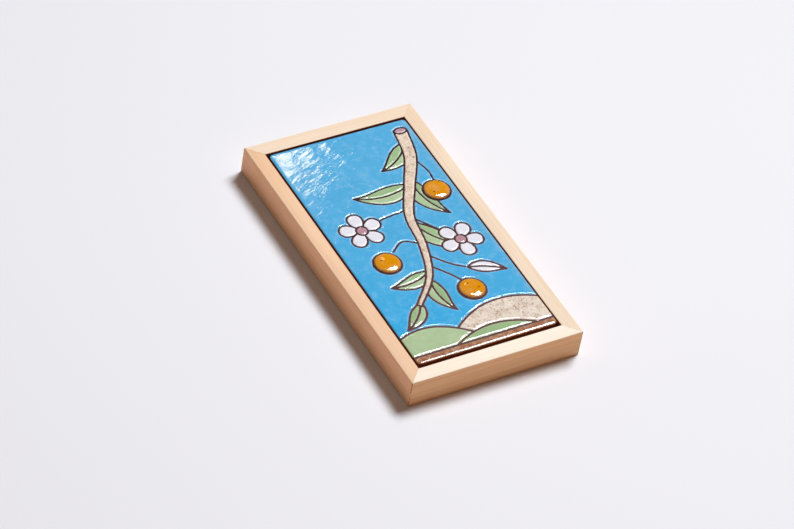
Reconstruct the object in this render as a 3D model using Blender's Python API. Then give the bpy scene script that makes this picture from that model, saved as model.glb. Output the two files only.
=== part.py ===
# A framed ceramic tile: four mitred wooden rails, a wooden backing board and a glazed tile
# that stands on the board just proud of the rails, with an open gap all round it.
# Metres. The back lies on z = 0, the picture faces +Z, and its top edge points to +Y.
import math

import bmesh
import bpy
import numpy as np
from mathutils import Vector

# Driving dimensions of the tile
TILE_WIDTH = 0.0985
TILE_LENGTH = 0.1965
TILE_THICKNESS = 0.0082
RIM_ROUNDING = 0.0018
CORNER_EXTRA = 0.0004

# Driving dimensions of the wood
RAIL_WIDTH = 0.0100
RAIL_ARRIS = 0.0004
BOARD_THICKNESS = 0.0120
BOARD_ARRIS = 0.0005
HANGER_DIAMETER = 0.0080
HANGER_DEPTH = 0.0080
HANGER_FROM_TOP = 0.0400

# Clearances
SIDE_GAP = 0.00125
END_GAP = 0.00225
FACE_RISE = 0.0005
BOND_GAP = 0.0003
BOARD_CLEARANCE = 0.0003
MITRE_GAP = 0.0003

# Relief of the glaze
LINE_WIDTH = 0.0018
LINE_FLOOR = 0.0009
LINE_DEPTH = 0.00045
STRIP_HEIGHT = 0.0058
FRUIT_RISE = 0.0016

# Smoothness of what is round
ARRIS_SEGMENTS = 2
RIM_SEGMENTS = 4
BORE_SIDES = 32
FRUIT_SIDES = 24
CURVE_STEPS = 72

# Worked out from the dimensions above
OPENING_WIDTH = TILE_WIDTH + 2 * SIDE_GAP
OPENING_LENGTH = TILE_LENGTH + 2 * END_GAP
FRAME_WIDTH = OPENING_WIDTH + 2 * RAIL_WIDTH
FRAME_LENGTH = OPENING_LENGTH + 2 * RAIL_WIDTH
TILE_BACK = BOARD_THICKNESS + BOND_GAP
FACE = TILE_BACK + TILE_THICKNESS
FRAME_DEPTH = FACE - FACE_RISE

# The design is drawn in half tile widths across and quarter tile lengths along,
# so that x runs from -1 to 1 and y from -2 to 2.
UNIT_X = TILE_WIDTH / 2
UNIT_Y = TILE_LENGTH / 4
STRIP_TOP = (STRIP_HEIGHT - TILE_LENGTH / 2) / UNIT_Y
GROOVE_STEP = 0.060
PAST_SIDE = 1.1
PAST_END = 2.2

# The branch, from its cut end at the top to its tip: points along it and its two half-widths
BRANCH = [
    (0.84, 1.82),
    (0.73, 1.35),
    (0.45, 0.86),
    (0.18, 0.37),
    (0.08, -0.16),
    (-0.12, -0.69),
    (-0.49, -1.10),
]
BRANCH_HALF = (0.094, 0.033)
CUT_END = (0.090, 0.053)

# Each leaf: where it leaves the branch as a share of its length, which side, turn from the
# branch in degrees, length, half-width and bow
LEAVES = [
    (0.07, 1, 44, 0.69, 0.130, 0.10),
    (0.30, -1, 46, 0.76, 0.135, -0.12),
    (0.33, 1, 60, 0.82, 0.143, 0.12),
    (0.54, -1, 52, 0.80, 0.139, -0.14),
    (0.80, 1, 54, 0.61, 0.114, 0.10),
    (0.84, -1, 40, 0.61, 0.118, -0.10),
    (0.985, 1, 2, 0.53, 0.102, 0.08),
]
LEAF_PEAK = 0.42

# White buds on their own: base, heading in degrees, length, half-width and bow
BUDS = [((0.42, -0.72), -24, 0.50, 0.096, 0.06)]

# Stalks: share of the branch's length where each starts, and the points after that
STALKS = [
    (0.17, [(0.81, 1.04), (0.80, 0.84)]),
    (0.46, [(-0.14, 0.44), (-0.30, 0.40)]),
    (0.50, [(0.38, 0.06), (0.50, -0.10)]),
    (0.66, [(-0.14, -0.02), (-0.34, -0.14)]),
    (0.72, [(0.24, -0.58), (0.395, -0.70)]),
    (0.78, [(0.14, -0.74), (0.24, -0.90)]),
]

# Blossoms: centre and turn in degrees. A petal is narrower at its base by PETAL_NARROWING.
BLOSSOMS = [((-0.53, 0.34), 18), ((0.59, -0.24), 54)]
PETALS = 5
PETAL_REACH = 0.300
PETAL_START = 0.040
PETAL_HALF = 0.122
PETAL_NARROWING = 0.38
HEART = 0.078

FRUITS = [(0.74, 0.66), (-0.51, -0.30), (0.28, -1.08)]
FRUIT_RADIUS = 0.184

# Hills: x and y of the top, and how far from it the hill is lower by HILL_DROP
HILLS = [(0.49, -1.35, 0.48), (-0.69, -1.47, 0.41), (0.20, -1.71, 0.48)]
HILL_DROP = 0.12


def material(name, colour, roughness):
    """A plain material of that colour."""
    made = bpy.data.materials.new(name)
    made.use_nodes = True
    shader = made.node_tree.nodes["Principled BSDF"]
    shader.inputs["Base Color"].default_value = (*colour, 1)
    shader.inputs["Roughness"].default_value = roughness
    shader.inputs["Metallic"].default_value = 0
    return made


def new_collection(name, parent):
    made = bpy.data.collections.new(name)
    parent.children.link(made)
    return made


def mesh_object(name, shape, collection, finish=None):
    """An object from a bmesh, which is used up."""
    mesh = bpy.data.meshes.new(name)
    bmesh.ops.recalc_face_normals(shape, faces=shape.faces)
    shape.to_mesh(mesh)
    shape.free()
    made = bpy.data.objects.new(name, mesh)
    collection.objects.link(made)
    if finish:
        mesh.materials.append(finish)
    return made


def block(width, length, height):
    """A bmesh box on z = 0, centred in x and y."""
    shape = bmesh.new()
    bmesh.ops.create_cube(shape, size=1)
    for vert in shape.verts:
        vert.co = Vector((vert.co.x * width, vert.co.y * length, (vert.co.z + 0.5) * height))
    return shape


def round_edges(shape, edges, radius, segments):
    bmesh.ops.bevel(shape, geom=edges, offset=radius, segments=segments, profile=0.5, affect="EDGES")


def as_cutter(cutter):
    cutter.hide_render = True
    cutter.display_type = "WIRE"


def combine(target, tools, operation):
    """Cut a mesh object with all the objects of a collection, or join it to them."""
    modifier = target.modifiers.new(tools.name, "BOOLEAN")
    modifier.operation = operation
    modifier.operand_type = "COLLECTION"
    modifier.collection = tools
    modifier.solver = "EXACT"
    for tool in tools.objects:
        as_cutter(tool)


def add_rail(name, length, centre, turn, finish):
    """A rail along its own X, its outer face towards its own -Y, mitred at both ends."""
    shape = block(length, RAIL_WIDTH, FRAME_DEPTH)
    set_back = MITRE_GAP / math.sqrt(2)
    for vert in shape.verts:
        inner = RAIL_WIDTH if vert.co.y > 0 else 0
        vert.co.x -= math.copysign(set_back + inner, vert.co.x)
    arrises = [e for e in shape.edges if abs(e.verts[0].co.x - e.verts[1].co.x) > length / 2]
    round_edges(shape, arrises, RAIL_ARRIS, ARRIS_SEGMENTS)
    rail = mesh_object(name, shape, parts, finish)
    rail.location = centre
    rail.rotation_euler.z = math.radians(turn)


def add_board(finish):
    """The board between the rails, with a blind hole in its back that takes a nail's head."""
    width = OPENING_WIDTH - 2 * BOARD_CLEARANCE
    length = OPENING_LENGTH - 2 * BOARD_CLEARANCE
    shape = block(width, length, BOARD_THICKNESS)
    round_edges(shape, list(shape.edges), BOARD_ARRIS, 1)
    board = mesh_object("backing_board", shape, parts, finish)
    hole = bmesh.new()
    radius = HANGER_DIAMETER / 2
    depth = 2 * HANGER_DEPTH
    bmesh.ops.create_cone(
        hole, cap_ends=True, segments=BORE_SIDES, radius1=radius, radius2=radius, depth=depth
    )
    bores = new_collection("bores", cutters)
    bore = mesh_object("hanger_hole", hole, bores)
    bore.location.y = length / 2 - HANGER_FROM_TOP
    combine(board, bores, "DIFFERENCE")


def smooth_curve(points, steps=CURVE_STEPS):
    """Points evenly spread in parameter along a smooth curve through the given ones."""
    given = [np.array(p, float) for p in points]
    ends = [2 * given[0] - given[1], *given, 2 * given[-1] - given[-2]]
    curve = []
    for place in np.linspace(0, len(points) - 1, steps):
        span = min(int(place), len(points) - 2)
        t = place - span
        a, b, c, d = ends[span : span + 4]
        cubic = 3 * b - a - 3 * c + d
        square = 2 * a - 5 * b + 4 * c - d
        curve.append(0.5 * (2 * b + (c - a) * t + square * t**2 + cubic * t**3))
    return np.array(curve)


def heading(degrees):
    angle = math.radians(degrees)
    return np.array((math.cos(angle), math.sin(angle)))


def beside(spine, half):
    """The two edges of a band along a spine, half its width to either side."""
    along = np.gradient(spine, axis=0)
    along /= np.linalg.norm(along, axis=1)[:, None]
    across = np.stack([-along[:, 1], along[:, 0]], 1) * np.reshape(half, (-1, 1))
    return spine + across, spine - across


def bowed(base, degrees, length, bow, steps=CURVE_STEPS):
    """A spine from base, bowed to one side by a share of its length."""
    t = np.linspace(0, 1, steps)
    along = heading(degrees)
    side = np.array((-along[1], along[0]))
    return np.array(base) + np.outer(t * length, along) + np.outer(4 * t * (1 - t) * bow * length, side)


def figure(lines, outline=None):
    """What is drawn: its lines, and the outline within which it hides what lies behind."""
    return {"lines": [np.array(line) for line in lines], "outline": outline}


def leaf(base, degrees, length, half, bow):
    """A leaf with a rib. Only its left edge runs right into the tips, where the lines meet."""
    spine = bowed(base, degrees, length, bow)
    t = np.linspace(0, 1, len(spine))
    swell = np.sin(math.pi * t ** (math.log(0.5) / math.log(LEAF_PEAK)))
    left, right = beside(spine, half * swell)
    return figure([left, spine[2:-2], right[1:-1]], np.vstack([left, right[::-1]]))


def ring(centre, radius_x, radius_y=None):
    turn = np.linspace(0, 2 * math.pi, CURVE_STEPS)
    loop = np.stack([radius_x * np.cos(turn), (radius_y or radius_x) * np.sin(turn)], 1) + np.array(centre)
    return figure([loop], loop)


def petal(centre, degrees):
    turn = np.linspace(0, math.pi, CURVE_STEPS // 2)
    t = (1 - np.cos(turn)) / 2
    along = heading(degrees)
    side = np.array((-along[1], along[0]))
    spine = np.array(centre) + np.outer(PETAL_START + t * (PETAL_REACH - PETAL_START), along)
    across = np.outer(PETAL_HALF * np.sin(turn) * (1 - PETAL_NARROWING * (1 - t)), side)
    loop = np.vstack([spine + across, (spine - across)[::-1]])
    return figure([loop], loop)


def down_to_end(top):
    """The outline of all that lies below a line right across the tile."""
    return np.vstack([top, [(PAST_SIDE, -PAST_END), (-PAST_SIDE, -PAST_END)]])


def hill(x, y, spread):
    """A low hill that runs out under the strip, or past the tile's sides."""
    across = np.linspace(-PAST_SIDE, PAST_SIDE, 2 * CURVE_STEPS)
    top = np.stack([across, y - HILL_DROP * ((across - x) / spread) ** 2], 1)
    return figure([top], down_to_end(top))


def draw_design():
    """The figures of the picture, from the back one to the front one."""
    spine = smooth_curve(BRANCH)
    along = np.gradient(spine, axis=0)

    def station(share):
        k = round(share * (len(spine) - 1))
        return spine[k], math.degrees(math.atan2(along[k][1], along[k][0]))

    drawn = [hill(*row) for row in HILLS]
    for share, side, turn, length, half, bow in LEAVES:
        base, degrees = station(share)
        drawn.append(leaf(base, degrees - side * turn, length, half, bow))
    for share, points in STALKS:
        drawn.append(figure([smooth_curve([station(share)[0], *points])]))
    for bud in BUDS:
        drawn.append(leaf(*bud))
    left, right = beside(spine, np.linspace(*BRANCH_HALF, len(spine)))
    tip = np.linspace(left[-2], right[-2], 3)
    drawn.append(figure([left, right, tip], np.vstack([left, right[::-1]])))
    drawn.append(ring(BRANCH[0], *CUT_END))
    for centre, turn in BLOSSOMS:
        for k in range(PETALS):
            drawn.append(petal(centre, turn + 360 * k / PETALS))
        drawn.append(ring(centre, HEART))
    for centre in FRUITS:
        drawn.append(ring(centre, FRUIT_RADIUS))
    strip = np.linspace((-PAST_SIDE, STRIP_TOP), (PAST_SIDE, STRIP_TOP), CURVE_STEPS)
    drawn.append(figure([strip], down_to_end(strip)))
    return drawn


def within(points, outline):
    """Which of the points lie inside a closed outline, by the sides that each one's ray crosses."""
    x, y = points[:, :1], points[:, 1:]
    ax, ay = outline.T
    bx, by = np.roll(outline, -1, axis=0).T
    rise = np.where(by == ay, 1, by - ay)
    crossed = ((ay > y) != (by > y)) & (x < ax + (y - ay) / rise * (bx - ax))
    return crossed.sum(axis=1) % 2 == 1


def visible_runs(line, fronts):
    """The stretches of a line that no figure in front of it hides."""
    hidden = np.zeros(len(line), bool)
    for outline in fronts:
        hidden |= within(line, outline)
    runs = np.split(line, np.flatnonzero(np.diff(hidden)) + 1)
    shown = [not hidden[0]]
    for _ in runs[1:]:
        shown.append(not shown[-1])
    return [run for run, seen in zip(runs, shown) if seen and len(run) > 2]


def respaced(run):
    """The same stretch with its points about GROOVE_STEP apart."""
    lengths = np.linalg.norm(np.diff(run, axis=0), axis=1)
    reach = np.concatenate([[0], np.cumsum(lengths)])
    wanted = np.linspace(0, reach[-1], max(2, round(reach[-1] / GROOVE_STEP) + 1))
    return np.stack([np.interp(wanted, reach, run[:, k]) for k in (0, 1)], 1)


def groove_section():
    """The cross-section of a line's groove, open to the face, as a closed flat curve."""
    above = LINE_DEPTH
    slope = (LINE_WIDTH - LINE_FLOOR) / 2 / LINE_DEPTH
    top = LINE_WIDTH / 2 + slope * above
    corners = [(-top, above), (top, above), (LINE_FLOOR / 2, -LINE_DEPTH), (-LINE_FLOOR / 2, -LINE_DEPTH)]
    curve = bpy.data.curves.new("groove_section", "CURVE")
    curve.dimensions = "2D"
    curve.fill_mode = "NONE"
    spline = curve.splines.new("POLY")
    spline.points.add(len(corners) - 1)
    for point, corner in zip(spline.points, corners):
        point.co = (*corner, 0, 1)
    spline.use_cyclic_u = True
    made = bpy.data.objects.new("groove_section", curve)
    cutters.objects.link(made)
    as_cutter(made)
    return made


def add_groove(name, run, closed, section, collection):
    """A cutter that has the groove's section all along a line of the design."""
    curve = bpy.data.curves.new(name, "CURVE")
    curve.dimensions = "3D"
    curve.twist_mode = "Z_UP"
    curve.bevel_mode = "OBJECT"
    curve.bevel_object = section
    curve.use_fill_caps = not closed
    points = run[:-1] if closed else run
    spline = curve.splines.new("POLY")
    spline.points.add(len(points) - 1)
    for point, (x, y) in zip(spline.points, points):
        point.co = (x * UNIT_X, y * UNIT_Y, FACE, 1)
    spline.use_cyclic_u = closed
    drawn = bpy.data.objects.new(name, curve)
    cutters.objects.link(drawn)
    bpy.context.view_layer.update()
    mesh = bpy.data.meshes.new_from_object(drawn.evaluated_get(bpy.context.evaluated_depsgraph_get()))
    shape = bmesh.new()
    shape.from_mesh(mesh)
    bmesh.ops.remove_doubles(shape, verts=shape.verts, dist=1e-6)
    for vert in shape.verts:
        vert.co.z = FACE + math.copysign(LINE_DEPTH, vert.co.z - FACE)
    bpy.data.objects.remove(drawn)
    mesh_object(name, shape, collection)


def add_fruit(name, centre, collection):
    """A raised drop of thick glaze, a flattened ball sunk to half its height."""
    shape = bmesh.new()
    bmesh.ops.create_uvsphere(shape, u_segments=FRUIT_SIDES, v_segments=FRUIT_SIDES // 2, radius=1)
    reach = FRUIT_RADIUS - (LINE_WIDTH - LINE_FLOOR) / 2 / UNIT_X
    for vert in shape.verts:
        vert.co = Vector((vert.co.x * reach * UNIT_X, vert.co.y * reach * UNIT_Y, vert.co.z * FRUIT_RISE))
    drop = mesh_object(name, shape, collection)
    drop.location = (centre[0] * UNIT_X, centre[1] * UNIT_Y, FACE)


def add_tile(finish):
    """The tile: a slab with a rounded rim, its lines sunk in and its fruits standing up."""
    shape = block(TILE_WIDTH, TILE_LENGTH, TILE_THICKNESS)
    upright = [e for e in shape.edges if abs(e.verts[0].co.z - e.verts[1].co.z) > TILE_THICKNESS / 2]
    round_edges(shape, upright, RIM_ROUNDING + CORNER_EXTRA, RIM_SEGMENTS)
    rim = [e for e in shape.edges if min(v.co.z for v in e.verts) > TILE_THICKNESS / 2]
    round_edges(shape, rim, RIM_ROUNDING, RIM_SEGMENTS)
    bmesh.ops.translate(shape, verts=shape.verts, vec=(0, 0, TILE_BACK))
    tile = mesh_object("tile", shape, parts, finish)
    grooves = new_collection("grooves", cutters)
    drops = new_collection("drops", cutters)
    section = groove_section()
    drawn = draw_design()
    for k, item in enumerate(drawn):
        fronts = [front["outline"] for front in drawn[k + 1 :] if front["outline"] is not None]
        for n, line in enumerate(item["lines"]):
            for m, run in enumerate(visible_runs(line, fronts)):
                closed = len(run) == len(line) and np.allclose(run[0], run[-1])
                add_groove(f"line_{k}_{n}_{m}", respaced(run), closed, section, grooves)
    for k, centre in enumerate(FRUITS):
        add_fruit(f"fruit_{k}", centre, drops)
    combine(tile, drops, "UNION")
    combine(tile, grooves, "DIFFERENCE")


for old in list(bpy.data.objects):
    bpy.data.objects.remove(old)
parts = new_collection("framed_ceramic_tile", bpy.context.scene.collection)
cutters = new_collection("cutters", bpy.context.scene.collection)

pale_wood = material("pale_wood", (0.82, 0.64, 0.46), 0.55)
dark_board = material("dark_board", (0.10, 0.05, 0.03), 0.8)
glaze = material("glaze", (0.11, 0.42, 0.74), 0.12)

across = (FRAME_WIDTH - RAIL_WIDTH) / 2
along = (FRAME_LENGTH - RAIL_WIDTH) / 2
add_rail("frame_rail_bottom", FRAME_WIDTH, (0, -along, 0), 0, pale_wood)
add_rail("frame_rail_top", FRAME_WIDTH, (0, along, 0), 180, pale_wood)
add_rail("frame_rail_right", FRAME_LENGTH, (across, 0, 0), 90, pale_wood)
add_rail("frame_rail_left", FRAME_LENGTH, (-across, 0, 0), -90, pale_wood)
add_board(dark_board)
add_tile(glaze)
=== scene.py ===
import math

import bmesh
import bpy
import numpy as np
from mathutils import Matrix, Vector


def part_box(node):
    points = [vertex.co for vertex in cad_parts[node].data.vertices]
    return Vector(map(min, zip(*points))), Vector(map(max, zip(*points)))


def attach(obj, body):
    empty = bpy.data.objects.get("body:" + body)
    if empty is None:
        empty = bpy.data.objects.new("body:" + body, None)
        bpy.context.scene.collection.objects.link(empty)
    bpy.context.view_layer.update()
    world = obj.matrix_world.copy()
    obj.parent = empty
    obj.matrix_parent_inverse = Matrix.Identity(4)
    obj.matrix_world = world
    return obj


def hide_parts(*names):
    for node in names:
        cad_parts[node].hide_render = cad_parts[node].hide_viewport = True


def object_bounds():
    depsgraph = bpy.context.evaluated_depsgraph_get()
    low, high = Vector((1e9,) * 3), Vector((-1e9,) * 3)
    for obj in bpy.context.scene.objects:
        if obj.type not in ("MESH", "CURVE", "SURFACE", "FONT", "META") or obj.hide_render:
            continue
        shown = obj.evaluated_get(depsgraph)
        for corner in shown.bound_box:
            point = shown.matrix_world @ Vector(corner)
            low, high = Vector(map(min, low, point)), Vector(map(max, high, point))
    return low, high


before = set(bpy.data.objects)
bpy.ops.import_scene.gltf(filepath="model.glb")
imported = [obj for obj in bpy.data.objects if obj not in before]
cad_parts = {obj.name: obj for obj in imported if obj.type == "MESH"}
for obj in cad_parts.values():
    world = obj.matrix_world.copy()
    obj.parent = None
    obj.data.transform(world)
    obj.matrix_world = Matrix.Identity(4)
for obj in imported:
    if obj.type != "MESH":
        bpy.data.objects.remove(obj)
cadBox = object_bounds()
mm = 0.001


def screen(red, green, blue):
    # the linear colour of one that reads 0 to 255 on a screen
    return tuple(((c / 255 + 0.055) / 1.055) ** 2.4 for c in (red, green, blue))


# Materials

class Value:
    # a socket whose maths is written as maths
    def __init__(self, finish, socket):
        self.finish = finish
        self.socket = socket

    def maths(self, operation, *terms):
        return self.finish.make("ShaderNodeMath", {"operation": operation}, dict(enumerate(terms)), 0)

    def __add__(self, other):
        return self.maths("ADD", self, other)

    def __radd__(self, other):
        return self.maths("ADD", other, self)

    def __sub__(self, other):
        return self.maths("SUBTRACT", self, other)

    def __rsub__(self, other):
        return self.maths("SUBTRACT", other, self)

    def __mul__(self, other):
        return self.maths("MULTIPLY", self, other)

    def __rmul__(self, other):
        return self.maths("MULTIPLY", other, self)

    def __truediv__(self, other):
        return self.maths("DIVIDE", self, other)

    def __abs__(self):
        return self.maths("ABSOLUTE", self)

    def larger(self, other):
        return self.maths("MAXIMUM", self, other)

    def fraction(self):
        return self.maths("FRACT", self)

    def rise(self, low, high):
        # 0 below low, 1 above high and smooth between; the other way round when low is the higher
        sockets = {"Value": self, "From Min": min(low, high), "From Max": max(low, high)}
        sockets["To Min"] = float(low > high)
        sockets["To Max"] = float(high > low)
        smooth = {"interpolation_type": "SMOOTHSTEP"}
        return self.finish.make("ShaderNodeMapRange", smooth, sockets, "Result")


class Finish:
    # the nodes of a material, or of the sky
    def __init__(self, owner, place="Object"):
        owner.use_nodes = True
        self.owner = owner
        self.tree = owner.node_tree
        self.shader = self.tree.nodes.get("Principled BSDF")
        self.place = self.make("ShaderNodeTexCoord", {}, {}, place)

    def make(self, kind, settings, sockets, output):
        node = self.tree.nodes.new(kind)
        for name, setting in settings.items():
            setattr(node, name, setting)
        self.join(node, sockets)
        return Value(self, node.outputs[output])

    def join(self, node, sockets):
        for name, given in sockets.items():
            if isinstance(given, Value):
                self.tree.links.new(given.socket, node.inputs[name])
            else:
                node.inputs[name].default_value = given

    def surface(self, **sockets):
        self.join(self.shader, {name.replace("_", " "): given for name, given in sockets.items()})

    def blend(self, share, first, second):
        colours = [c if isinstance(c, Value) else (*c, 1) for c in (first, second)]
        sockets = {0: share, 6: colours[0], 7: colours[1]}
        return self.make("ShaderNodeMix", {"data_type": "RGBA"}, sockets, 2)

    def tint(self, colour, share):
        # the colour made lighter or darker by a varying share
        return self.make("ShaderNodeVectorMath", {"operation": "SCALE"}, {0: colour, "Scale": share}, 0)

    def moved(self, move, turn):
        # measured along axes turned about the upright one
        sockets = {"Vector": self.place, "Location": move, "Rotation": (0, 0, turn)}
        return self.make("ShaderNodeMapping", {}, sockets, 0)

    def stretched(self, vector, scale):
        return self.make("ShaderNodeVectorMath", {"operation": "MULTIPLY"}, {0: vector, 1: scale}, 0)

    def axes(self, vector):
        return [self.make("ShaderNodeSeparateXYZ", {}, {0: vector}, k) for k in range(3)]

    def noise(self, vector, scale, detail=2, roughness=0.5):
        # the scale is how often it changes in a metre, or that along each axis
        if isinstance(scale, tuple):
            vector = self.stretched(vector, scale)
            scale = 1.0
        sockets = {"Vector": vector, "Scale": scale, "Detail": detail, "Roughness": roughness}
        return self.make("ShaderNodeTexNoise", {}, sockets, 0)

    def cells(self, vector, scale):
        return self.make("ShaderNodeTexVoronoi", {}, {"Vector": vector, "Scale": scale}, "Distance")

    def attribute(self, name, output="Fac"):
        return self.make("ShaderNodeAttribute", {"attribute_name": name}, {}, output)

    def bump(self, height, depth, strength=1.0):
        sockets = {"Strength": strength, "Distance": depth, "Height": height}
        return self.make("ShaderNodeBump", {}, sockets, 0)


# Modelling

def editing(piece, mode):
    # alone, selected and in edit mode with nothing chosen
    bpy.ops.object.select_all(action="DESELECT")
    piece.select_set(True)
    bpy.context.view_layer.objects.active = piece
    bpy.ops.object.mode_set(mode="EDIT")
    bpy.context.tool_settings.mesh_select_mode = (mode == "VERT", mode == "EDGE", mode == "FACE")
    bpy.ops.mesh.select_all(action="DESELECT")
    return bmesh.from_edit_mesh(piece.data)


def choose(piece, elements, wanted):
    # choose what fits, now that edit mode is on
    for element in elements:
        element.select = wanted(element)
    bmesh.update_edit_mesh(piece.data)


def leaveEditing():
    bpy.ops.object.mode_set(mode="OBJECT")


def settle(piece, material, node):
    # give the piece its finish and its body, and hide the solid that it stands for
    piece.data.materials.clear()
    piece.data.materials.append(material)
    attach(piece, "root")
    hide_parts(node)


def onAxis(axis, amount):
    vector = [0, 0, 0]
    vector[axis] = amount
    return vector


# Rails

# the frame's inner edges and its top
opening = {
    "x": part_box("frame_rail_right")[0].x,
    "y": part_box("frame_rail_top")[0].y,
    "top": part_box("frame_rail_top")[1].z,
}

rail = {
    "arris": 0.5 * mm,
    "endArris": 0.06 * mm,
    "jointGap": 0.05 * mm,
    "cuts": 44,
    "cutMargin": 1 * mm,
    "waver": 0.025 * mm,
    # each wave's turn in a metre, its height next to the first's, and how its start is spread
    "waves": ((61, 1.0, 900), (143, 0.6, 700)),
    "smoothAngle": math.radians(32),
    "roughness": 0.5,
    "gloss": 0.32,
    "grainDepth": 0.05 * mm,
    # the sides' painted shade begins between these depths under the top
    "sideShadeStart": (0.1 * mm, 0.6 * mm),
    # and painted light lightens the sides between these heights
    "sidePaintedLight": (2 * mm, 16 * mm),
    "paler": 0.21,
    "stain": screen(146, 84, 54),
    "stainEdge": (0.17 * mm, 0.05 * mm),
    "stainCreep": 0.1 * mm,
    # the long rails yellow between these places
    "yellowed": screen(214, 160, 92),
    "yellowing": (45 * mm, 85 * mm),
    "yellowShare": 0.15,
    # the mitre is worn within this way of it, and more so above and below these heights
    "worn": (0.40, 0.10, 0.012),
    "wornShare": 0.9,
    "wornReach": (0.80 * mm, 0.20 * mm),
    "wornTop": (17 * mm, 19 * mm),
    "wornFoot": (4 * mm, 2 * mm),
    # the wood's patterns: how often each changes in a metre, along and across the rail, then its
    # detail and roughness
    "bend": ((5, 26, 26), 2),
    "streak": ((7, 330, 330), 3, 0.6),
    "fibre": ((45, 2600, 2600), 3, 0.6),
    "pores": ((190, 5200, 5200), 1),
    "cloud": ((16, 70, 70), 2),
    "wear": (520, 2, 0.6),
}

# each rail's own wood: its tones, its growth rings, and where in the tree it was cut; the side tones
# are the wood's own, darkened and reddened as painted shade
railWood = {
    "frame_rail_bottom": {
        "name": "bottomRail",
        "top": (0.93, 0.81, 0.67),
        "topGrain": (0.87, 0.68, 0.50),
        "side": (0.85, 0.505, 0.265),
        "shadedSideGrain": (0.69, 0.365, 0.167),
        "bendReach": 6 * mm,
        "ring": 2.1 * mm,
        "contrast": 0.22,
        "cut": (0.31, 0.052, 0.021),
    },
    "frame_rail_top": {
        "name": "topRail",
        "top": (0.86, 0.69, 0.52),
        "topGrain": (0.76, 0.54, 0.36),
        "side": (0.86, 0.60, 0.38),
        "shadedSideGrain": (0.72, 0.46, 0.27),
        "bendReach": 5 * mm,
        "ring": 1.7 * mm,
        "contrast": 0.25,
        "cut": (0.73, 0.018, 0.044),
    },
    "frame_rail_right": {
        "name": "rightRail",
        "top": (0.835, 0.675, 0.505),
        "topGrain": (0.735, 0.525, 0.35),
        "side": (0.85, 0.59, 0.37),
        "shadedSideGrain": (0.71, 0.45, 0.26),
        "bendReach": 4 * mm,
        "ring": 1.5 * mm,
        "contrast": 0.25,
        "cut": (0.17, -0.024, 0.038),
    },
    "frame_rail_left": {
        "name": "leftRail",
        "top": (0.825, 0.555, 0.353),
        "topGrain": (0.752, 0.43, 0.244),
        "side": (0.88, 0.455, 0.25),
        "shadedSideGrain": (0.755, 0.35, 0.17),
        "bendReach": 6 * mm,
        "ring": 2.4 * mm,
        "contrast": 0.2,
        "cut": (0.55, 0.031, 0.052),
    },
}


def woodFinish(look, alongX):
    # faint growth rings round a heart beyond the rail, with fibres and pores along it
    finish = Finish(bpy.data.materials.new(look["name"] + "_wood"))
    wood = finish.moved(look["cut"], 0 if alongX else math.pi / 2)
    x, y, z = finish.axes(finish.place)
    across, up = finish.axes(wood)[1:]
    streak = finish.noise(wood, *rail["streak"])
    fibre = finish.noise(wood, *rail["fibre"])
    pores = finish.noise(wood, *rail["pores"]).rise(0.70, 0.78)
    cloud = finish.noise(wood, *rail["cloud"])
    bent = across + finish.noise(wood, *rail["bend"]) * look["bendReach"]
    ringPlace = finish.make("ShaderNodeCombineXYZ", {}, {"Y": bent, "Z": up}, 0)
    radius = finish.make("ShaderNodeVectorMath", {"operation": "LENGTH"}, {0: ringPlace}, "Value")
    year = (radius / look["ring"] + streak * 1.6).fraction()
    lateWood = year.rise(0.2, 0.9) * year.rise(1.0, 0.9)
    # the sides' tone is the wood's, darkened and reddened as painted shade, and painted light lightens
    # it towards the top
    side = z.rise(*(opening["top"] - depth for depth in rail["sideShadeStart"]))
    pale = finish.blend(side, look["top"], look["side"])
    dark = finish.blend(side, look["topGrain"], look["shadedSideGrain"])
    share = lateWood * look["contrast"] + pores * 0.25
    share += streak.rise(0.35, 0.75) * 0.45 + fibre.rise(0.35, 0.75) * 0.35
    colour = finish.blend(share, pale, dark)
    # painted light: the sides grow lighter towards the top
    paintedSideLight = side * z.rise(*rail["sidePaintedLight"]) * rail["paler"]
    colour = finish.tint(colour, 0.93 + cloud * 0.14 + paintedSideLight)
    if not alongX:
        # the long rails have yellowed a little towards the head
        yellow = (1 - side) * y.rise(*rail["yellowing"]) * rail["yellowShare"]
        colour = finish.blend(yellow, colour, rail["yellowed"])
    # the inner face is stained, and the stain has crept unevenly along the fibres
    inside = (abs(x) - opening["x"]).larger(abs(y) - opening["y"])
    stained = (inside + (fibre - 0.5) * rail["stainCreep"]).rise(*rail["stainEdge"])
    colour = finish.blend(stained, colour, rail["stain"])
    # the mitre's edge is worn brown here and there at the outer corner, most at its top and bottom
    mitre = abs(abs(y) - abs(x) - (cadBox[1].y - cadBox[1].x))
    tips = z.rise(*rail["wornTop"]) * 0.2 + z.rise(*rail["wornFoot"]) * 0.1
    worn = (finish.noise(finish.place, *rail["wear"]) + tips).rise(0.40, 0.62)
    seam = mitre.rise(*rail["wornReach"]) * worn * side
    colour = finish.blend(seam * rail["wornShare"], colour, rail["worn"])
    finish.surface(Base_Color=colour, Roughness=rail["roughness"] + fibre * 0.16 + pores * 0.1)
    grooves = fibre * 0.5 + streak * 0.4 - pores * 0.8 - lateWood * 0.3
    grain = finish.bump(grooves, rail["grainDepth"], 0.6)
    finish.surface(Normal=grain, Specular_IOR_Level=rail["gloss"])
    return finish.owner


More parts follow.
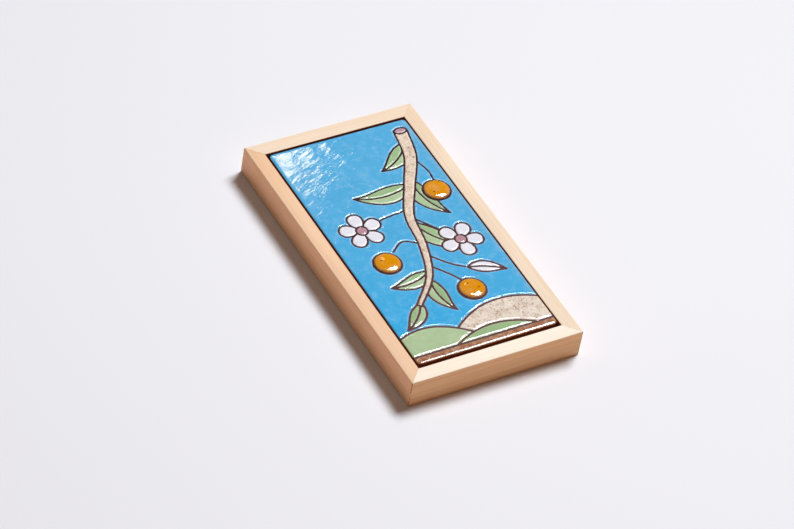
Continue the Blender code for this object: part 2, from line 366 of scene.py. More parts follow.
def makeRail(node, look):
    low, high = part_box(node)
    alongX = high.x - low.x > high.y - low.y
    axis = 0 if alongX else 1
    half = cadBox[1][axis] - rail["jointGap"] / 2
    centre = (low + high) / 2
    size = [high[k] - low[k] for k in range(3)]
    size[axis] = 2 * half
    width = size[1 - axis]
    bpy.ops.object.select_all(action="DESELECT")
    bpy.ops.mesh.primitive_cube_add(size=1, location=centre, scale=size)
    piece = bpy.context.object
    piece.name = look["name"]
    bpy.ops.object.transform_apply(location=True, rotation=False, scale=True)
    # both ends are cut at 45 degrees, the inner edges drawn in by the rail's width
    outward = math.copysign(1, centre[1 - axis])
    middle = abs(centre[1 - axis])
    for end in (-1, 1):
        shape = editing(piece, "VERT")
        choose(piece, shape.verts, lambda v: v.co[axis] * end > 0 and v.co[1 - axis] * outward < middle)
        bpy.ops.transform.translate(value=onAxis(axis, -end * width))
        leaveEditing()
    # the four long arrises are softened, and the mitred ends hardly
    shape = editing(piece, "EDGE")
    choose(piece, shape.edges, lambda e: abs(e.verts[0].co[axis] - e.verts[1].co[axis]) > half)
    bpy.ops.mesh.bevel(offset=rail["arris"], segments=4, profile=0.5)
    leaveEditing()
    shape = editing(piece, "FACE")
    choose(piece, shape.faces, lambda f: abs(f.normal[axis]) > 0.5)
    bpy.ops.mesh.region_to_loop()
    bpy.ops.mesh.bevel(offset=rail["endArris"], segments=1)
    leaveEditing()
    # cross cuts, so that the planed faces can waver a little
    reach = half - width - rail["cutMargin"]
    editing(piece, "EDGE")
    for k in range(1, rail["cuts"]):
        bpy.ops.mesh.select_all(action="SELECT")
        spot = onAxis(axis, (2 * k / rail["cuts"] - 1) * reach)
        bpy.ops.mesh.bisect(plane_co=spot, plane_no=onAxis(axis, 1))
    leaveEditing()
    for v in piece.data.vertices:
        place = v.co[axis]
        if abs(place) < reach and v.co.z > opening["top"] / 2:
            for (turn, share, spread), start in zip(rail["waves"], look["cut"]):
                v.co.z += rail["waver"] * share * (math.sin(place * turn + start * spread) - 1)
    bpy.ops.object.select_all(action="DESELECT")
    piece.select_set(True)
    bpy.context.view_layer.objects.active = piece
    bpy.ops.object.shade_smooth_by_angle(angle=rail["smoothAngle"])
    settle(piece, woodFinish(look, alongX), node)


for railNode, railLook in railWood.items():
    makeRail(railNode, railLook)
print("rails done")


# Backing board

board = {
    "wood": screen(196, 160, 118),
    "grain": screen(158, 116, 78),
    "stain": screen(92, 50, 33),
    "stainEdge": (0.4 * mm, 0.9 * mm),
    "stainCreep": 0.6 * mm,
    "roughness": 0.62,
    "gloss": 0.25,
    "grainDepth": 0.06 * mm,
    # its patterns, given as the rails' are
    "swirl": ((22, 5, 22), 2),
    "fibre": ((2300, 60, 2300), 3, 0.6),
    "pores": ((4200, 160, 4200), 1),
}


def boardFinish():
    # a birch-faced board, its front and edges stained dark
    finish = Finish(bpy.data.materials.new("board_wood"))
    z = finish.axes(finish.place)[2]
    figure = (finish.noise(finish.place, *board["swirl"]) * 9).fraction().rise(0.15, 0.9)
    fibre = finish.noise(finish.place, *board["fibre"])
    pores = finish.noise(finish.place, *board["pores"]).rise(0.68, 0.76)
    share = figure * 0.4 + fibre.rise(0.35, 0.8) * 0.3 + pores * 0.35
    colour = finish.blend(share, board["wood"], board["grain"])
    stained = (z + (fibre - 0.5) * board["stainCreep"]).rise(*board["stainEdge"])
    colour = finish.blend(stained, colour, board["stain"])
    rough = board["roughness"] + fibre * 0.2
    finish.surface(Base_Color=colour, Roughness=rough, Specular_IOR_Level=board["gloss"])
    finish.surface(Normal=finish.bump(fibre * 0.6 - pores, board["grainDepth"], 0.6))
    return finish.owner


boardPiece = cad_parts["backing_board"]
boardPiece.data.materials.clear()
boardPiece.data.materials.append(boardFinish())
print("board done")


# The tile's drawing, in half tile widths across and quarter tile lengths along

tileLow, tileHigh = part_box("tile")
unitX = (tileHigh.x - tileLow.x) / 2
unitY = (tileHigh.y - tileLow.y) / 4
faceRise = 0.5 * mm  # the tile's face stands a little over the frame
face = opening["top"] + faceRise

glaze = {
    "sky": screen(88, 180, 226),
    "deepSky": screen(60, 177, 231),
    "white": screen(239, 236, 243),
    "beige": screen(246, 231, 213),
    "bark": screen(243, 222, 199),
    "green": screen(180, 204, 158),
    "deepGreen": screen(160, 192, 138),
    "pink": screen(190, 140, 155),
    "amber": screen(228, 148, 10),
    "brown": screen(160, 98, 66),
}
exposure = 1.11  # how much brighter than its own colour a level surface looks in this light
deepeningPower = 2  # how late the sky's glaze deepens on its way to the foot
deepeningLean = 0.35  # how much more it does so on the left

# how much each glaze is speckled; over 1.4 it is flecked with gold too
speckled = {
    "bark": 1.0,
    "beige": 1.15,
    "green": 0.15,
    "deepGreen": 0.15,
    "pink": 0.3,
    "strip": 2.0,
}

drawing = {
    "branch": [
        (0.84, 1.82),
        (0.73, 1.35),
        (0.45, 0.86),
        (0.18, 0.37),
        (0.08, -0.16),
        (-0.12, -0.69),
        (-0.49, -1.10),
    ],
    "branchHalf": (0.094, 0.033),
    "cutEnd": (0.090, 0.053),
    # where it leaves the branch, side, turn, length, half-width, bow
    "leaves": [
        (0.07, 1, 44, 0.69, 0.130, 0.10),
        (0.30, -1, 46, 0.76, 0.135, -0.12),
        (0.33, 1, 60, 0.82, 0.143, 0.12),
        (0.54, -1, 52, 0.80, 0.139, -0.14),
        (0.80, 1, 54, 0.61, 0.114, 0.10),
        (0.84, -1, 40, 0.61, 0.118, -0.10),
        (0.985, 1, 2, 0.53, 0.102, 0.08),
    ],
    "leafPeak": 0.42,
    "bud": ((0.42, -0.72), -24, 0.50, 0.096, 0.06),
    # where it leaves the branch, and the points that it goes on through
    "stalks": [
        (0.17, [(0.81, 1.04), (0.80, 0.84)]),
        (0.46, [(-0.14, 0.44), (-0.30, 0.40)]),
        (0.50, [(0.38, 0.06), (0.50, -0.10)]),
        (0.66, [(-0.14, -0.02), (-0.34, -0.14)]),
        (0.72, [(0.24, -0.58), (0.395, -0.70)]),
        (0.78, [(0.14, -0.74), (0.24, -0.90)]),
    ],
    "blossoms": [((-0.53, 0.34), 18), ((0.59, -0.24), 54)],
    "petals": 5,
    "petalStart": 0.040,
    "petalReach": 0.300,
    "petalHalf": 0.122,
    "petalNarrowing": 0.38,
    "heart": 0.078,
    "fruits": [(0.74, 0.66), (-0.51, -0.30), (0.28, -1.08)],
    "fruitRadius": 0.184,
    # top of the hill, and how far from it the hill is lower by the drop
    "hills": [
        (0.49, -1.35, 0.48, "beige"),
        (-0.69, -1.47, 0.41, "green"),
        (0.20, -1.71, 0.48, "deepGreen"),
    ],
    "hillDrop": 0.12,
    # the brown strip is 5.8 mm wide
    "stripTop": -1.8819,
    # past the tile's side and foot
    "beyond": (1.1, -2.2),
    "steps": 72,
    # further away than this, a line counts for nothing
    "farthest": 9 * mm,
}


def smoothCurve(points):
    # through all the points, its ends carried on straight
    given = [np.array(p, float) for p in points]
    ends = [2 * given[0] - given[1], *given, 2 * given[-1] - given[-2]]
    curve = []
    for place in np.linspace(0, len(points) - 1, drawing["steps"]):
        span = min(int(place), len(points) - 2)
        t = place - span
        a, b, c, d = ends[span:span + 4]
        cubic = 3 * b - a - 3 * c + d
        square = 2 * a - 5 * b + 4 * c - d
        curve.append(0.5 * (2 * b + (c - a) * t + square * t**2 + cubic * t**3))
    return np.array(curve)


def heading(degrees):
    # the way ahead, and the way to the left of it
    angle = math.radians(degrees)
    ahead = np.array((math.cos(angle), math.sin(angle)))
    return ahead, np.array((-ahead[1], ahead[0]))


def beside(spine, half):
    # the two edges of a band along the spine
    along = np.gradient(spine, axis=0)
    along /= np.linalg.norm(along, axis=1)[:, None]
    across = np.stack([-along[:, 1], along[:, 0]], 1) * np.reshape(half, (-1, 1))
    return spine + across, spine - across


def leafEdges(base, degrees, length, half, bow):
    t = np.linspace(0, 1, drawing["steps"])
    ahead, left = heading(degrees)
    spine = np.array(base) + length * (np.outer(t, ahead) + np.outer(4 * t * (1 - t) * bow, left))
    swell = np.sin(math.pi * t ** (math.log(0.5) / math.log(drawing["leafPeak"])))
    leftEdge, rightEdge = beside(spine, half * swell)
    return leftEdge, spine, rightEdge


def ring(centre, radiusX, radiusY):
    turn = np.linspace(0, 2 * math.pi, drawing["steps"])
    return np.stack([radiusX * np.cos(turn), radiusY * np.sin(turn)], 1) + np.array(centre)


def petal(centre, degrees):
    turn = np.linspace(0, math.pi, drawing["steps"] // 2)
    t = (1 - np.cos(turn)) / 2
    ahead, left = heading(degrees)
    reach = drawing["petalReach"] - drawing["petalStart"]
    spine = np.array(centre) + np.outer(drawing["petalStart"] + t * reach, ahead)
    half = drawing["petalHalf"] * np.sin(turn) * (1 - drawing["petalNarrowing"] * (1 - t))
    across = np.outer(half, left)
    return np.vstack([spine + across, (spine - across)[::-1]])


def downToEnd(top):
    # all that lies below a line from side to side
    side, foot = drawing["beyond"]
    return np.vstack([top, [(side, foot), (-side, foot)]])


class Fields:
    # for every point of the tile's face: the way to the nearest line in sight, and the glaze it has
    def __init__(self, points):
        self.points = points
        self.line = np.full(len(points), 1.0)
        self.dome = np.zeros(len(points))
        self.speckle = np.zeros(len(points))
        # the sky's glaze is thicker and deeper towards the foot, most of all on the left
        foot = np.clip(0.5 - points[:, 1:] / (2 * tileHigh.y), 0, 1) ** deepeningPower
        foot *= 1 - deepeningLean * points[:, :1] / tileHigh.x
        self.colour = (1 - foot) * glaze["sky"] + foot * glaze["deepSky"]

    def near(self, outline):
        low = outline.min(0) - drawing["farthest"]
        high = outline.max(0) + drawing["farthest"]
        return np.flatnonzero(((self.points > low) & (self.points < high)).all(1))

    def distance(self, chosen, line, closed):
        ends = np.roll(line, -1, axis=0) if closed else line[1:]
        starts = line if closed else line[:-1]
        best = np.full(len(chosen), 1.0)
        spots = self.points[chosen]
        for start, end in zip(starts, ends):
            run = end - start
            share = np.clip(((spots - start) @ run) / max(run @ run, 1e-18), 0, 1)
            best = np.minimum(best, np.linalg.norm(spots - start - share[:, None] * run, axis=1))
        return best

    def within(self, chosen, outline):
        x, y = self.points[chosen].T
        odd = np.zeros(len(chosen), bool)
        for (ax, ay), (bx, by) in zip(outline, np.roll(outline, -1, axis=0)):
            if ay != by:
                odd ^= ((ay > y) != (by > y)) & (x < ax + (y - ay) / (by - ay) * (bx - ax))
        return odd

    def cover(self, outline, colour, speckle=0.0):
        # a figure hides the lines behind it and brings its own outline
        outline = outline * (unitX, unitY)
        chosen = self.near(outline)
        way = self.distance(chosen, outline, True)
        inside = self.within(chosen, outline)
        self.line[chosen] = np.where(inside, way, np.minimum(self.line[chosen], way))
        self.colour[chosen[inside]] = glaze[colour]
        self.speckle[chosen[inside]] = speckle
        return chosen[inside]

    def stroke(self, line):
        line = line * (unitX, unitY)
        chosen = self.near(line)
        self.line[chosen] = np.minimum(self.line[chosen], self.distance(chosen, line, False))

    def leaf(self, base, degrees, length, half, bow, leftColour, rightColour):
        left, spine, right = leafEdges(base, degrees, length, half, bow)
        self.cover(np.vstack([left, right[::-1]]), rightColour)
        self.cover(np.vstack([left, spine[::-1]]), leftColour)


def drawFields(points):
    # from what lies farthest back to what lies in front
    fields = Fields(points)
    spine = smoothCurve(drawing["branch"])
    along = np.gradient(spine, axis=0)

    def station(share):
        k = round(share * (len(spine) - 1))
        return spine[k], math.degrees(math.atan2(along[k][1], along[k][0]))

    side = drawing["beyond"][0]
    across = np.linspace(-side, side, 2 * drawing["steps"])
    for x, y, spread, colour in drawing["hills"]:
        top = np.stack([across, y - drawing["hillDrop"] * ((across - x) / spread) ** 2], 1)
        fields.cover(downToEnd(top), colour, speckled[colour])
    for share, leafSide, turn, length, half, bow in drawing["leaves"]:
        base, degrees = station(share)
        colours = ("green", "deepGreen")[::leafSide]
        fields.leaf(base, degrees - leafSide * turn, length, half, bow, *colours)
    for share, bends in drawing["stalks"]:
        fields.stroke(smoothCurve([station(share)[0], *bends]))
    fields.leaf(*drawing["bud"], "white", "white")
    left, right = beside(spine, np.linspace(*drawing["branchHalf"], len(spine)))
    fields.cover(np.vstack([left, right[::-1]]), "bark", speckled["bark"])
    fields.cover(ring(drawing["branch"][0], *drawing["cutEnd"]), "pink", speckled["pink"])
    for centre, turn in drawing["blossoms"]:
        for k in range(drawing["petals"]):
            fields.cover(petal(centre, turn + 360 * k / drawing["petals"]), "white")
        fields.cover(ring(centre, drawing["heart"], drawing["heart"]), "pink", speckled["pink"])
    for centre in drawing["fruits"]:
        radius = drawing["fruitRadius"]
        inside = fields.cover(ring(centre, radius, radius), "amber")
        fields.dome[inside] = 1
    stripTop = np.array([(-side, drawing["stripTop"]), (side, drawing["stripTop"])])
    fields.cover(downToEnd(stripTop), "brown", speckled["strip"])
    return fields


# The tile

tile = {
    "cell": 0.47 * mm,
    "corner": 2.6 * mm,
    # the rim turns down over this width, from this slope
    "edge": 0.16 * mm,
    "edgeSlope": math.radians(17.5),
    "rimRows": 7,
    "sideSwell": 0.3,
    # these change from the first at the head to the second at the foot
    "swellReach": (1.85 * mm, 1.3 * mm),
    "lineHalf": (0.52 * mm, 0.70 * mm),
    "lineSink": (0.42 * mm, 0.30 * mm),
    "shoulder": (0.40 * mm, 0.60 * mm),
    "crown": (0.05 * mm, 0.20 * mm),
    "crownReach": (3.2 * mm, 1.3 * mm),
    "gradePower": 1.5,
    "lineWander": 0.05 * mm,
    "lineBead": 0.04 * mm,
    "fruitRise": 1.55 * mm,
    "fruitFlatness": 3.2,
    "fruitStart": 0.45,
    "waveHeight": 0.009 * mm,
    # seed, how many, the shortest and the longest
    "lineWaves": (8, 12, 2 * mm, 7 * mm),
    "faceWaves": (5, 14, 7 * mm, 24 * mm),
    "underEdge": 0.5 * mm,
    "smoothAngle": math.radians(48),
}

# the rim slopes ever more from where the glaze starts to swell, then turns down on a small radius
edgeRadius = tile["edge"] / (1 - math.sin(tile["edgeSlope"]))


def gridLines(half):
    # places of the grid's lines from one edge to the other, closer where the rim turns down
    turn = np.linspace(math.pi / 2, tile["edgeSlope"], tile["rimRows"] + 1)[:-1]
    rim = edgeRadius * (1 - np.sin(turn))
    inner = half - tile["edge"]
    middle = np.linspace(-inner, inner, round(2 * inner / tile["cell"]) + 1)
    return np.concatenate([rim - half, middle, (half - rim)[::-1]])


def graded(name, y):
    head, foot = tile[name]
    return head + (foot - head) * np.clip(0.5 - y / (2 * tileHigh.y), 0, 1) ** tile["gradePower"]


def swellReach(x, y):
    # the swell is broader on the right
    return graded("swellReach", y) * (1 + tile["sideSwell"] * x / tileHigh.x)


def rimDrop(inset, reach):
    slope = tile["edgeSlope"]
    bend = math.tan(slope) / 2 / (reach - tile["edge"])
    soft = bend * np.clip(reach - np.maximum(inset, tile["edge"]), 0, None) ** 2
    turn = np.arcsin(np.clip(1 - inset / edgeRadius, math.sin(slope), 1))
    return soft + edgeRadius * (math.cos(slope) - np.cos(turn))


def ripple(x, y, seed, count, shortest, longest):
    # waves of many directions, about 1 high in all
    random = np.random.default_rng(seed)
    height = np.zeros(len(x))
    for _ in range(count):
        length = random.uniform(shortest, longest)
        angle, phase = random.uniform(0, 2 * math.pi, 2)
        height += np.sin(2 * math.pi * (x * math.cos(angle) + y * math.sin(angle)) / length + phase)
    return height / math.sqrt(count / 2)


def lineHalf(x, y):
    # the lines are broader towards the foot, and nowhere quite even
    return graded("lineHalf", y) + tile["lineWander"] * ripple(x, y, *tile["lineWaves"])


def relief(fields, x, y):
    # height over the face, from the sunken lines up the glaze's shoulders to its crown
    d = fields.line
    half = lineHalf(x, y)
    sink = graded("lineSink", y)
    rise = np.clip((d - half) / graded("shoulder", y), 0, 1)
    rise = rise * rise * (3 - 2 * rise)
    bead = tile["lineBead"] * np.clip(1 - (d / half) ** 2, 0, 1)
    crown = graded("crown", y) * (1 - np.exp(-np.maximum(d - half, 0) / graded("crownReach", y)))
    height = (sink + crown) * rise - sink + bead
    # the fruits are drops of thick glaze
    radius = drawing["fruitRadius"] * unitX
    fromEdge = np.clip((d - tile["fruitStart"] * half) / radius, 0, 1)
    swell = tile["fruitRise"] * np.sqrt(1 - (1 - fromEdge) ** tile["fruitFlatness"])
    height = np.where(fields.dome > 0, np.maximum(height, swell - sink * (1 - rise)), height)
    return height + tile["waveHeight"] * ripple(x, y, *tile["faceWaves"])


def rounded(x, y):
    # the square corners drawn in to round ones, and how far each point then is from the edge
    corner = tile["corner"]
    overX = np.maximum(np.abs(x) - tileHigh.x + corner, 0)
    overY = np.maximum(np.abs(y) - tileHigh.y + corner, 0)
    over = np.hypot(overX, overY)
    pull = np.where(over > 0, np.maximum(overX, overY) / np.where(over > 0, over, 1), 1)
    x = np.where(overX > 0, np.copysign(tileHigh.x - corner + overX * pull, x), x)
    y = np.where(overY > 0, np.copysign(tileHigh.y - corner + overY * pull, y), y)
    straight = np.minimum(tileHigh.x - np.abs(x), tileHigh.y - np.abs(y))
    return x, y, np.where((overX > 0) & (overY > 0), corner - over * pull, straight)


def storeFields(mesh, fields, x, y):
    # what the glaze's material reads at each point: millimetres from the line's edge, and the rest
    way = np.minimum(fields.line - lineHalf(x, y), drawing["farthest"]) / mm
    for name, values in (("lineWay", way), ("speckle", fields.speckle), ("dome", fields.dome)):
        layer = mesh.attributes.new(name, "FLOAT", "POINT")
        layer.data.foreach_set("value", values.astype(np.float32))
    layer = mesh.color_attributes.new("glazeColour", "FLOAT_COLOR", "POINT")
    shown = np.concatenate([fields.colour / exposure, np.ones((len(x), 1))], 1)
    layer.data.foreach_set("color", shown.astype(np.float32).ravel())


def closeBack(piece):
    # the edge is drawn down to the back, and the back closed
    shape = editing(piece, "EDGE")
    choose(piece, shape.edges, lambda e: e.is_boundary)
    for drop in (tile["underEdge"], 2 * tile["underEdge"]):
        bpy.ops.mesh.extrude_edges_move(TRANSFORM_OT_translate={"value": (0, 0, -drop)})
    bpy.ops.transform.resize(value=(1, 1, 0), center_override=(0, 0, tileLow.z))
    bpy.ops.mesh.edge_face_add()
    bpy.ops.mesh.select_all(action="SELECT")
    bpy.ops.mesh.normals_make_consistent(inside=False)
    leaveEditing()


def makeTile():
    linesX, linesY = gridLines(tileHigh.x), gridLines(tileHigh.y)
    columns, rows = len(linesX) - 1, len(linesY) - 1
    bpy.ops.object.select_all(action="DESELECT")
    bpy.ops.mesh.primitive_grid_add(x_subdivisions=columns, y_subdivisions=rows, size=2)
    piece = bpy.context.object
    piece.name = "glazedTile"
    co = np.zeros(3 * len(piece.data.vertices))
    piece.data.vertices.foreach_get("co", co)
    co = co.reshape(-1, 3)
    column = np.rint((co[:, 0] + 1) / 2 * columns).astype(int)
    row = np.rint((co[:, 1] + 1) / 2 * rows).astype(int)
    x, y, inset = rounded(linesX[column], linesY[row])
    fields = drawFields(np.stack([x, y], 1))
    reach = swellReach(x, y)
    height = relief(fields, x, y) * np.clip(inset / reach, 0, 1) - rimDrop(inset, reach)
    piece.data.vertices.foreach_set("co", np.stack([x, y, face + height], 1).ravel())
    storeFields(piece.data, fields, x, y)
    closeBack(piece)
    bpy.ops.object.shade_smooth_by_angle(angle=tile["smoothAngle"])
    return piece


# the glaze's patterns: how often each changes in a metre, or that along each axis, then its
# detail and roughness
glazePattern = {
    "cloud": (60, 3, 0.55),
    "mottle": (260, 2, 0.6),
    "grain": (1000, 1),
    "crumbs": (1000, 3, 0.65),
    "patches": (200, 2, 0.6),
    "pinAreas": (40, 0),
    "gold": ((700, 1500, 900), 2, 0.6),
    "wander": (700, 2),
    "bare": (1300, 2),
    "dull": (150, 1),
    "fine": (900, 2),
    "peel": ((330, 1050, 700), 1),
    "broad": ((110, 240, 200), 1),
    "dust": ((1300, 2500, 1500), 0),
    "grit": (2600, 1),
    "clots": (1000, 2, 0.6),
    "dents": (330, 1),
}
glazeTone = {
    # paler mottles, and the painted sheen beside the lines
    "mottleAndSheen": screen(226, 222, 222),
    # a painted reflection along the right rim
    "rimSheen": screen(192, 168, 140),
    "patch": screen(200, 172, 150),
    "speck": screen(144, 106, 88),
    "pinhole": screen(52, 40, 44),
    "domeEdge": screen(140, 66, 16),
    "pit": screen(110, 48, 12),
    "gold": screen(206, 150, 92),
    # the bare lines' tone at the head, then at the foot lightened by painted sheen
    "bareHead": screen(48, 12, 16),
    "bareFootSheen": screen(90, 53, 50),
    "clay": screen(150, 72, 16),
}
glazeLook = {
    "roughness": 0.03,
    "dullness": 0.38,
    "bareRoughness": 0.8,
    "refraction": 1.52,
    "skinDepth": 0.03 * mm,
    "brushTurn": math.radians(-27),
    # how often a pinhole and a pit come in a metre
    "pinholes": 95,
    "pits": 210,
    # the painted reflection beside the right rim grows between these places across
    "rimSheenReach": (44 * mm, 48.5 * mm),
    # the shoulders shine less between these places along
    "dulling": (-85 * mm, 5 * mm),
    # the lines grow lighter and browner, a painted sheen, between these places along
    "bareSheenGrade": (80 * mm, -85 * mm),
    # the clay shows from these depths under the face
    "clayDepth": (0.72 * mm, 0.86 * mm),
    "clayCreep": 0.3 * mm,
}


def glazeFinish():
    finish = Finish(bpy.data.materials.new("glaze"))
    x, y, z = finish.axes(finish.place)
    way = finish.attribute("lineWay")
    speckle = finish.attribute("speckle")
    dome = finish.attribute("dome")
    colour = finish.attribute("glazeColour", "Color")
    slanted = finish.moved((0, 0, 0), glazeLook["brushTurn"])

    def pattern(name, vector=finish.place):
        return finish.noise(vector, *glazePattern[name])

    # every glaze is clouded and mottled, and beside the lines it is lighter, a painted sheen
    cloud = pattern("cloud")
    mottle = pattern("mottle")
    colour = finish.tint(colour, 0.76 + cloud * 0.16 + mottle * 0.14 + pattern("grain") * 0.18)
    pale = way.rise(1.5, 0.1) * 0.13 + cloud.rise(0.5, 0.75) * 0.06 + mottle.rise(0.45, 0.8) * 0.10
    colour = finish.blend(pale, colour, glazeTone["mottleAndSheen"])
    # beside the right rim the glaze is greyed and warmed, a painted reflection on the rim's swell
    rimSheen = x.rise(*glazeLook["rimSheenReach"]) * (0.05 + mottle * 0.16)
    colour = finish.blend(rimSheen, colour, glazeTone["rimSheen"])
    # mottles and specks in the pale glazes, and pinholes in all of them
    patches = pattern("patches")
    colour = finish.blend(speckle * patches.rise(0.42, 0.68) * 0.40, colour, glazeTone["patch"])
    specks = speckle * pattern("crumbs").rise(0.50, 0.64) * (0.45 + patches.rise(0.4, 0.7) * 0.55)
    colour = finish.blend(specks * 0.85, colour, glazeTone["speck"])
    pin = finish.cells(finish.place, glazeLook["pinholes"]).rise(0.055, 0.03)
    pin = pin * pattern("pinAreas").rise(0.5, 0.52)
    colour = finish.blend(pin * 0.8, colour, glazeTone["pinhole"])
    # the domes darken to their edge, and have a few pits
    colour = finish.blend(dome * way.rise(1.3, 0.1) * 0.5, colour, glazeTone["domeEdge"])
    pits = finish.cells(finish.place, glazeLook["pits"]).rise(0.16, 0.10) * dome
    colour = finish.blend(pits * 0.8, colour, glazeTone["pit"])
    # golden flecks in the brown glaze
    brown = speckle.rise(1.4, 1.8)
    colour = finish.blend(brown * pattern("gold").rise(0.53, 0.68) * 0.9, colour, glazeTone["gold"])
    # the lines are bare; towards the foot they are lighter and browner, a painted sheen
    line = (way + (pattern("wander") - 0.5) * 0.3).rise(0.20, -0.02)
    bare = finish.blend(y.rise(*glazeLook["bareSheenGrade"]), glazeTone["bareHead"], glazeTone["bareFootSheen"])
    colour = finish.blend(line, colour, finish.tint(bare, 0.8 + pattern("bare") * 0.4))
    # below the rim the glaze has run thin and brown
    clayEdge = (face - depth for depth in glazeLook["clayDepth"])
    clay = (z + (cloud - 0.5) * glazeLook["clayCreep"]).rise(*clayEdge)
    colour = finish.blend(clay, colour, glazeTone["clay"])
    # towards the head the shoulders shine only here and there
    dull = way.rise(1.6, 0.4) * y.rise(*glazeLook["dulling"]) * pattern("dull").rise(0.38, 0.54)
    rough = glazeLook["roughness"] + pattern("fine") * 0.03 + dull * glazeLook["dullness"]
    rough += line * glazeLook["bareRoughness"] + clay * glazeLook["bareRoughness"]
    # the glaze's skin has shallow ripples, longer along the brush's way
    skin = pattern("peel", slanted) * 0.75 + pattern("broad", slanted) * 2.0
    skin += pattern("dust", slanted) * 0.14
    pitted = line * pattern("grit") * 0.6 - pin * 0.8
    lumps = brown * pattern("clots") * 1.2 + dome * pattern("dents") * 2.5
    bumped = finish.bump(skin + pitted + lumps, glazeLook["skinDepth"])
    finish.surface(Base_Color=colour, Roughness=rough, Normal=bumped, IOR=glazeLook["refraction"])
    return finish.owner


tilePiece = makeTile()
settle(tilePiece, glazeFinish(), "tile")
print("tile done", len(tilePiece.data.vertices), "vertices")


# Floor, light and camera

studio = {
    "floor": (0.80, 0.785, 0.80),
    "floorSize": 12,
    "floorDrop": 0.1 * mm,
    # painted shade on the floor: how it darkens towards the back and away from the middle, and the
    # least it keeps
    "floorShadeSlant": 0.074,
    "floorShadeFall": 0.25,
    "floorShadeLeast": 0.85,
    "dimRoom": (0.112, 0.03, 0.002),
    "paleRoom": (0.222, 0.238, 0.225),
    "keyWay": (0.56, 0.28, 1.0),
    "keyDistance": 6.5,
    "keySize": (2.5, 1.95),
    "keyColour": (0.878, 0.943, 1.0),
    "keyPower": 544,
    "fillWay": (0.30, -0.90, 0.30),
    "fillDistance": 3.0,
    "fillSize": (2.0, 0.9),
    "fillColour": (1.0, 0.54, 0.25),
    "fillPower": 4.8,
    # the third lamp is mirrored in the tile beyond the line between these two of its points
    "glintStart": (-25 * mm, 98 * mm),
    "glintEnd": (-49 * mm, 80 * mm),
    "glintDistance": 2.0,
    "glintSize": 0.08,
    "glintColour": (1.0, 0.76, 0.48),
    "glintPower": 0.38,
}


def floorFinish():
    # a pale sheet, with painted shade that darkens it away from its middle and towards the back
    finish = Finish(bpy.data.materials.new("studio_floor"))
    cloud = finish.noise(finish.place, 3)
    fine = finish.noise(finish.place, 500)
    x, y = finish.axes(finish.place)[:2]
    # painted shade: darker towards the back and away from the middle
    paintedFalloff = 1 - y * studio["floorShadeSlant"] - (x * x + y * y) * studio["floorShadeFall"]
    colour = finish.blend(cloud, tuple(c * 0.985 for c in studio["floor"]), studio["floor"])
    colour = finish.tint(colour, paintedFalloff.larger(studio["floorShadeLeast"]))
    rough = 0.75 + fine * 0.1
    bumped = finish.bump(fine, 0.02 * mm, 0.3)
    finish.surface(Base_Color=colour, Roughness=rough, Normal=bumped, Specular_IOR_Level=0.2)
    return finish.owner


bpy.ops.object.select_all(action="DESELECT")
bpy.ops.mesh.primitive_plane_add(size=studio["floorSize"], location=(0, 0, -studio["floorDrop"]))
floor = bpy.context.object
floor.name = "studioFloor"
bpy.ops.object.transform_apply(location=True, rotation=False, scale=False)
floor.data.materials.append(floorFinish())


def addLight(name, size, turn, location):
    data = bpy.data.lights.new(name + "Light", "AREA")
    data.shape = "RECTANGLE"
    data.size, data.size_y = size
    data.color = studio[name + "Colour"]
    data.energy = studio[name + "Power"]
    lamp = bpy.data.objects.new(name + "Light", data)
    bpy.context.scene.collection.objects.link(lamp)
    lamp.matrix_world = Matrix.Translation(location) @ turn.to_4x4()


def addFacingLight(name):
    way = Vector(studio[name + "Way"]).normalized()
    turn = way.to_track_quat("Z", "Y").to_matrix()
    addLight(name, studio[name + "Size"], turn, way * studio[name + "Distance"])


addFacingLight("key")
addFacingLight("fill")

# the room is pale on the left, and dim and brown on the right
sky = Finish(bpy.data.worlds.new("studio"), "Generated")
leftShare = sky.axes(sky.place)[0].rise(0.2, -0.8)
room = sky.blend(leftShare, studio["dimRoom"], studio["paleRoom"])
sky.join(sky.tree.nodes["Background"], {"Color": room})
bpy.context.scene.world = sky.owner
bpy.context.scene.view_settings.view_transform = "Standard"

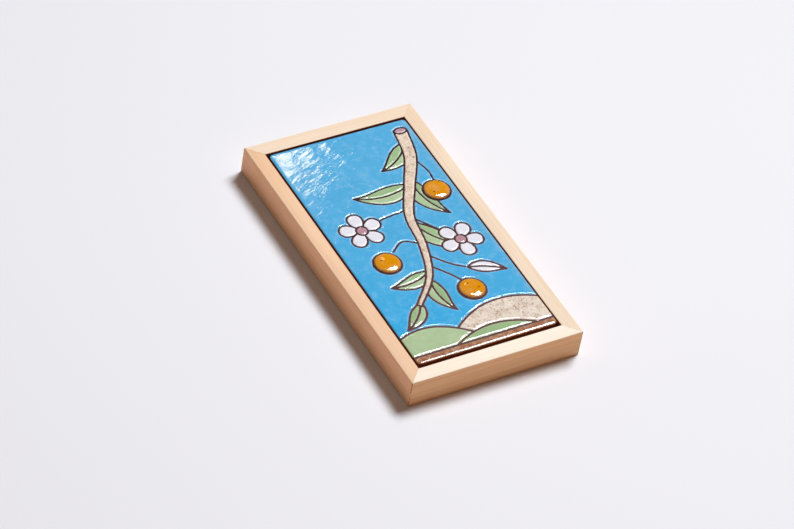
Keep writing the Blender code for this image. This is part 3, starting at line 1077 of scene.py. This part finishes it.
view = {
    "azimuth": math.radians(-36.32),
    "elevation": math.radians(43.615),
    "roll": math.radians(10.731),
    "distance": 2.5422,
    "target": (-7.246 * mm, -0.301 * mm, 0),
    "lens": 184.6,
    "sensorWidth": 36,
    "clipEnd": 30,
}


def addCamera():
    azimuth, elevation, roll = view["azimuth"], view["elevation"], view["roll"]
    back = Vector((
        math.sin(azimuth) * math.cos(elevation),
        -math.cos(azimuth) * math.cos(elevation),
        math.sin(elevation),
    ))
    right = Vector((0, 0, 1)).cross(back).normalized()
    up = back.cross(right)
    across = right * math.cos(roll) + up * math.sin(roll)
    upright = up * math.cos(roll) - right * math.sin(roll)
    data = bpy.data.cameras.new("camera")
    data.lens = view["lens"]
    data.sensor_width = view["sensorWidth"]
    data.clip_end = view["clipEnd"]
    camera = bpy.data.objects.new("camera", data)
    bpy.context.scene.collection.objects.link(camera)
    turn = Matrix((across, upright, back)).transposed().to_4x4()
    camera.matrix_world = Matrix.Translation(Vector(view["target"]) + back * view["distance"]) @ turn
    return camera


def addGlint(eye):
    # a square lamp with one edge along what the camera sees mirrored in the line from start to end
    start, end = (Vector((*studio[k], face)) for k in ("glintStart", "glintEnd"))
    corner = Vector((end.x, start.y, face))

    def mirrored(spot):
        way = (spot - eye).normalized()
        return Vector((way.x, way.y, -way.z))

    middle = mirrored(corner)
    centre = corner + middle * studio["glintDistance"]
    edges = []
    for spot in (start, end):
        way = mirrored(spot)
        edges.append(spot + way * ((centre - spot).dot(middle) / way.dot(middle)))
    along = (edges[1] - edges[0]).normalized()
    across = middle.cross(along)
    # the lamp lies on the corner's side of that edge, and faces the tile
    if (centre - edges[0]).dot(across) < 0:
        along = -along
        across = -across
    location = (edges[0] + edges[1]) / 2 + across * studio["glintSize"] / 2
    if along.cross(across).dot(middle) < 0:
        along = -along
    turn = Matrix((along, across, along.cross(across))).transposed()
    addLight("glint", (studio["glintSize"], studio["glintSize"]), turn, location)


camera = addCamera()
bpy.context.scene.camera = camera
addGlint(camera.matrix_world.translation)
print("studio done")
